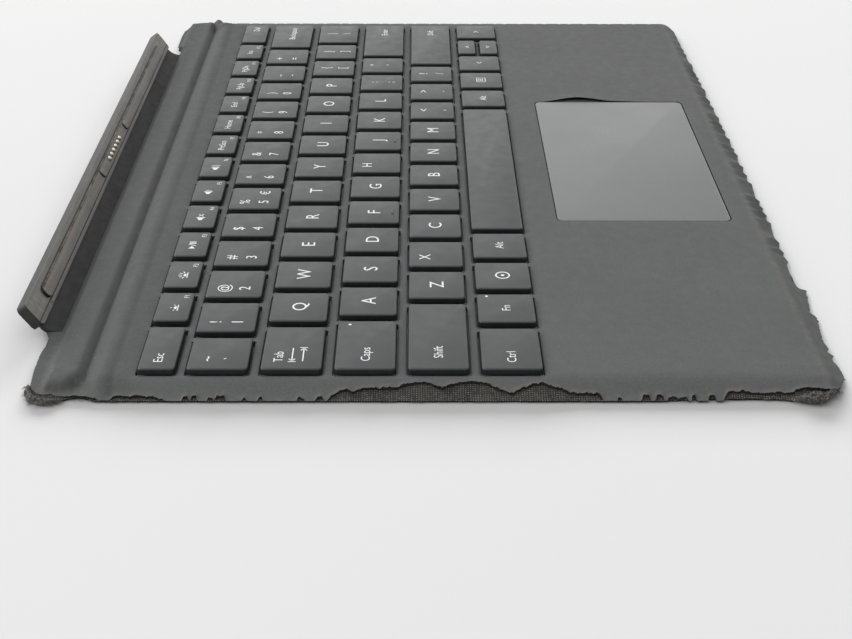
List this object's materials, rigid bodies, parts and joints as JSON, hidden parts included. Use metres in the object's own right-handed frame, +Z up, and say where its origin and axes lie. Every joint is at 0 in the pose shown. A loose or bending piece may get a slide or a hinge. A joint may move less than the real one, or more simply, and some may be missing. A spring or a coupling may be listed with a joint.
{
  "type": "tablet keyboard case",
  "caption": "Flat fabric-covered tablet cover with a built-in keyboard and touchpad, a fold panel and a hinged docking spine with contact pins.",
  "frame": {"origin": "centre of the underside, midway between the front edge and the hinge edge of the fold panel", "axes": "+X to the typist's right, +Y from the typist towards the docking spine, +Z up, out of the keys"},
  "size_m": [0.292, 0.2144, 0.01],
  "materials": {
    "skin": "matte soft-touch cloth laminate, worn at the edges",
    "hinge_cloth": "dark matte cloth laminate",
    "keycap": "fine matte moulded plastic with darker walls",
    "frame": "plain moulding, hidden",
    "plate": "plain sheet, hidden",
    "light_guide": "clear film, hidden",
    "membrane": "printed film, hidden",
    "dome": "soft silicone, hidden",
    "link": "natural moulded plastic, hidden",
    "touchpad": "smooth satin sheet",
    "circuit": "solder-masked board, hidden",
    "chip": "moulded package, hidden",
    "ribbon": "flexible printed cable, hidden",
    "steel": "plated steel, hidden",
    "spine": "matte moulding with scuffs",
    "lug": "smooth dark moulding",
    "pin": "gold-plated"
  },
  "bodies": {
    "keyboard": {"bottom_skin": "skin", "base_plate": "plate", "key_lattice": "frame", "palm_frame": "frame", "deck_skin": "skin", "light_guide": "light_guide", "switch_plate": "plate", "switch_membrane": "membrane", "rubber_domes": "dome", "scissor_links": "link", "controller_board": "circuit", "controller_chips": "chip", "touchpad_bracket": "steel", "touchpad_switch": "steel", "ribbon_keyboard": "ribbon"},
    "fold_panel": {"panel_top_skin": "skin", "panel_bottom_skin": "skin", "panel_stiffener": "frame", "panel_magnets": "steel", "fold_fabric": "hinge_cloth", "fold_ribbon": "ribbon"},
    "docking_spine": {"spine_shell": "spine", "docking_bar": "spine", "alignment_lugs": "lug", "spine_magnets": "steel", "hinge_fabric": "hinge_cloth", "hinge_ribbon": "ribbon"},
    "contact_pins": {"contact_pins": "pin"},
    "touchpad": {"touchpad_plate": "touchpad", "touchpad_board": "circuit"},
    "escape_key": {"escape_key": "keycap"},
    "delete_key": {"delete_key": "keycap"},
    "backspace_key": {"backspace_key": "keycap"},
    "tab_key": {"tab_key": "keycap"},
    "backslash_key": {"backslash_key": "keycap"},
    "caps_key": {"caps_key": "keycap"},
    "enter_key": {"enter_key": "keycap"},
    "left_shift_key": {"left_shift_key": "keycap"},
    "right_shift_key": {"right_shift_key": "keycap"},
    "control_key": {"control_key": "keycap"},
    "fn_key": {"fn_key": "keycap"},
    "launcher_key": {"launcher_key": "keycap"},
    "left_alt_key": {"left_alt_key": "keycap"},
    "space_bar": {"space_bar": "keycap"},
    "right_alt_key": {"right_alt_key": "keycap"},
    "menu_key": {"menu_key": "keycap"},
    "left_arrow_key": {"left_arrow_key": "keycap"},
    "up_arrow_key": {"up_arrow_key": "keycap"},
    "down_arrow_key": {"down_arrow_key": "keycap"},
    "right_arrow_key": {"right_arrow_key": "keycap"},
    "function_keys_left": {"function_keys_left": "keycap"},
    "function_keys_right": {"function_keys_right": "keycap"},
    "number_keys_left": {"number_keys_left": "keycap"},
    "number_keys_right": {"number_keys_right": "keycap"},
    "upper_keys_left": {"upper_keys_left": "keycap"},
    "upper_keys_right": {"upper_keys_right": "keycap"},
    "home_keys_left": {"home_keys_left": "keycap"},
    "home_keys_right": {"home_keys_right": "keycap"},
    "lower_keys_left": {"lower_keys_left": "keycap"},
    "lower_keys_right": {"lower_keys_right": "keycap"}
  },
  "joints": [
    {"name": "panel_fold", "type": "hinge", "parent": "keyboard", "child": "fold_panel", "pos_m": [0, 0.0911, 0.00075], "axis": [1, 0, 0], "range_deg": [-95, 15], "deforming": ["fold_fabric", "fold_ribbon"]},
    {"name": "spine_turn", "type": "hinge", "parent": "fold_panel", "child": "docking_spine", "pos_m": [0, 0.10543, 0.0004], "axis": [1, 0, 0], "range_deg": [-145, 40], "deforming": ["hinge_fabric", "hinge_ribbon"]},
    {"name": "pins_press", "type": "slide", "parent": "docking_spine", "child": "contact_pins", "axis": [0, -0.8192, 0.5736], "range_m": [-0.0005, 0], "stiffness_N_per_m": 3000, "springref_m": 0.0003},
    {"name": "touchpad_click", "type": "hinge", "parent": "keyboard", "child": "touchpad", "pos_m": [0, -0.0392, 0.002], "axis": [1, 0, 0], "range_deg": [0, 0.6], "stiffness_Nm_per_rad": 3, "springref_deg": -0.34, "deforming": ["touchpad_bracket"]},
    {"name": "escape_key_press", "type": "slide", "parent": "keyboard", "child": "escape_key", "axis": [0, 0, 1], "range_m": [-0.0013, 0], "stiffness_N_per_m": 400, "springref_m": 0.0004, "deforming": ["rubber_domes", "scissor_links"]},
    {"name": "delete_key_press", "type": "slide", "parent": "keyboard", "child": "delete_key", "axis": [0, 0, 1], "range_m": [-0.0013, 0], "stiffness_N_per_m": 400, "springref_m": 0.0004, "deforming": ["rubber_domes", "scissor_links"]},
    {"name": "backspace_key_press", "type": "slide", "parent": "keyboard", "child": "backspace_key", "axis": [0, 0, 1], "range_m": [-0.0013, 0], "stiffness_N_per_m": 400, "springref_m": 0.0004, "deforming": ["rubber_domes", "scissor_links"]},
    {"name": "tab_key_press", "type": "slide", "parent": "keyboard", "child": "tab_key", "axis": [0, 0, 1], "range_m": [-0.0013, 0], "stiffness_N_per_m": 400, "springref_m": 0.0004, "deforming": ["rubber_domes", "scissor_links"]},
    {"name": "backslash_key_press", "type": "slide", "parent": "keyboard", "child": "backslash_key", "axis": [0, 0, 1], "range_m": [-0.0013, 0], "stiffness_N_per_m": 400, "springref_m": 0.0004, "deforming": ["rubber_domes", "scissor_links"]},
    {"name": "caps_key_press", "type": "slide", "parent": "keyboard", "child": "caps_key", "axis": [0, 0, 1], "range_m": [-0.0013, 0], "stiffness_N_per_m": 400, "springref_m": 0.0004, "deforming": ["rubber_domes", "scissor_links"]},
    {"name": "enter_key_press", "type": "slide", "parent": "keyboard", "child": "enter_key", "axis": [0, 0, 1], "range_m": [-0.0013, 0], "stiffness_N_per_m": 400, "springref_m": 0.0004, "deforming": ["rubber_domes", "scissor_links"]},
    {"name": "left_shift_key_press", "type": "slide", "parent": "keyboard", "child": "left_shift_key", "axis": [0, 0, 1], "range_m": [-0.0013, 0], "stiffness_N_per_m": 400, "springref_m": 0.0004, "deforming": ["rubber_domes", "scissor_links"]},
    {"name": "right_shift_key_press", "type": "slide", "parent": "keyboard", "child": "right_shift_key", "axis": [0, 0, 1], "range_m": [-0.0013, 0], "stiffness_N_per_m": 400, "springref_m": 0.0004, "deforming": ["rubber_domes", "scissor_links"]},
    {"name": "control_key_press", "type": "slide", "parent": "keyboard", "child": "control_key", "axis": [0, 0, 1], "range_m": [-0.0013, 0], "stiffness_N_per_m": 400, "springref_m": 0.0004, "deforming": ["rubber_domes", "scissor_links"]},
    {"name": "fn_key_press", "type": "slide", "parent": "keyboard", "child": "fn_key", "axis": [0, 0, 1], "range_m": [-0.0013, 0], "stiffness_N_per_m": 400, "springref_m": 0.0004, "deforming": ["rubber_domes", "scissor_links"]},
    {"name": "launcher_key_press", "type": "slide", "parent": "keyboard", "child": "launcher_key", "axis": [0, 0, 1], "range_m": [-0.0013, 0], "stiffness_N_per_m": 400, "springref_m": 0.0004, "deforming": ["rubber_domes", "scissor_links"]},
    {"name": "left_alt_key_press", "type": "slide", "parent": "keyboard", "child": "left_alt_key", "axis": [0, 0, 1], "range_m": [-0.0013, 0], "stiffness_N_per_m": 400, "springref_m": 0.0004, "deforming": ["rubber_domes", "scissor_links"]},
    {"name": "space_bar_press", "type": "slide", "parent": "keyboard", "child": "space_bar", "axis": [0, 0, 1], "range_m": [-0.0013, 0], "stiffness_N_per_m": 400, "springref_m": 0.0004, "deforming": ["rubber_domes", "scissor_links"]},
    {"name": "right_alt_key_press", "type": "slide", "parent": "keyboard", "child": "right_alt_key", "axis": [0, 0, 1], "range_m": [-0.0013, 0], "stiffness_N_per_m": 400, "springref_m": 0.0004, "deforming": ["rubber_domes", "scissor_links"]},
    {"name": "menu_key_press", "type": "slide", "parent": "keyboard", "child": "menu_key", "axis": [0, 0, 1], "range_m": [-0.0013, 0], "stiffness_N_per_m": 400, "springref_m": 0.0004, "deforming": ["rubber_domes", "scissor_links"]},
    {"name": "left_arrow_key_press", "type": "slide", "parent": "keyboard", "child": "left_arrow_key", "axis": [0, 0, 1], "range_m": [-0.0013, 0], "stiffness_N_per_m": 400, "springref_m": 0.0004, "deforming": ["rubber_domes", "scissor_links"]},
    {"name": "up_arrow_key_press", "type": "slide", "parent": "keyboard", "child": "up_arrow_key", "axis": [0, 0, 1], "range_m": [-0.0013, 0], "stiffness_N_per_m": 400, "springref_m": 0.0004, "deforming": ["rubber_domes", "scissor_links"]},
    {"name": "down_arrow_key_press", "type": "slide", "parent": "keyboard", "child": "down_arrow_key", "axis": [0, 0, 1], "range_m": [-0.0013, 0], "stiffness_N_per_m": 400, "springref_m": 0.0004, "deforming": ["rubber_domes", "scissor_links"]},
    {"name": "right_arrow_key_press", "type": "slide", "parent": "keyboard", "child": "right_arrow_key", "axis": [0, 0, 1], "range_m": [-0.0013, 0], "stiffness_N_per_m": 400, "springref_m": 0.0004, "deforming": ["rubber_domes", "scissor_links"]},
    {"name": "function_keys_left_press", "type": "slide", "parent": "keyboard", "child": "function_keys_left", "axis": [0, 0, 1], "range_m": [-0.0013, 0], "stiffness_N_per_m": 2400, "springref_m": 0.0004, "deforming": ["rubber_domes", "scissor_links"]},
    {"name": "function_keys_right_press", "type": "slide", "parent": "keyboard", "child": "function_keys_right", "axis": [0, 0, 1], "range_m": [-0.0013, 0], "stiffness_N_per_m": 2400, "springref_m": 0.0004, "deforming": ["rubber_domes", "scissor_links"]},
    {"name": "number_keys_left_press", "type": "slide", "parent": "keyboard", "child": "number_keys_left", "axis": [0, 0, 1], "range_m": [-0.0013, 0], "stiffness_N_per_m": 2400, "springref_m": 0.0004, "deforming": ["rubber_domes", "scissor_links"]},
    {"name": "number_keys_right_press", "type": "slide", "parent": "keyboard", "child": "number_keys_right", "axis": [0, 0, 1], "range_m": [-0.0013, 0], "stiffness_N_per_m": 2800, "springref_m": 0.0004, "deforming": ["rubber_domes", "scissor_links"]},
    {"name": "upper_keys_left_press", "type": "slide", "parent": "keyboard", "child": "upper_keys_left", "axis": [0, 0, 1], "range_m": [-0.0013, 0], "stiffness_N_per_m": 2000, "springref_m": 0.0004, "deforming": ["rubber_domes", "scissor_links"]},
    {"name": "upper_keys_right_press", "type": "slide", "parent": "keyboard", "child": "upper_keys_right", "axis": [0, 0, 1], "range_m": [-0.0013, 0], "stiffness_N_per_m": 2800, "springref_m": 0.0004, "deforming": ["rubber_domes", "scissor_links"]},
    {"name": "home_keys_left_press", "type": "slide", "parent": "keyboard", "child": "home_keys_left", "axis": [0, 0, 1], "range_m": [-0.0013, 0], "stiffness_N_per_m": 2000, "springref_m": 0.0004, "deforming": ["rubber_domes", "scissor_links"]},
    {"name": "home_keys_right_press", "type": "slide", "parent": "keyboard", "child": "home_keys_right", "axis": [0, 0, 1], "range_m": [-0.0013, 0], "stiffness_N_per_m": 2400, "springref_m": 0.0004, "deforming": ["rubber_domes", "scissor_links"]},
    {"name": "lower_keys_left_press", "type": "slide", "parent": "keyboard", "child": "lower_keys_left", "axis": [0, 0, 1], "range_m": [-0.0013, 0], "stiffness_N_per_m": 2000, "springref_m": 0.0004, "deforming": ["rubber_domes", "scissor_links"]},
    {"name": "lower_keys_right_press", "type": "slide", "parent": "keyboard", "child": "lower_keys_right", "axis": [0, 0, 1], "range_m": [-0.0013, 0], "stiffness_N_per_m": 2000, "springref_m": 0.0004, "deforming": ["rubber_domes", "scissor_links"]}
  ]
}
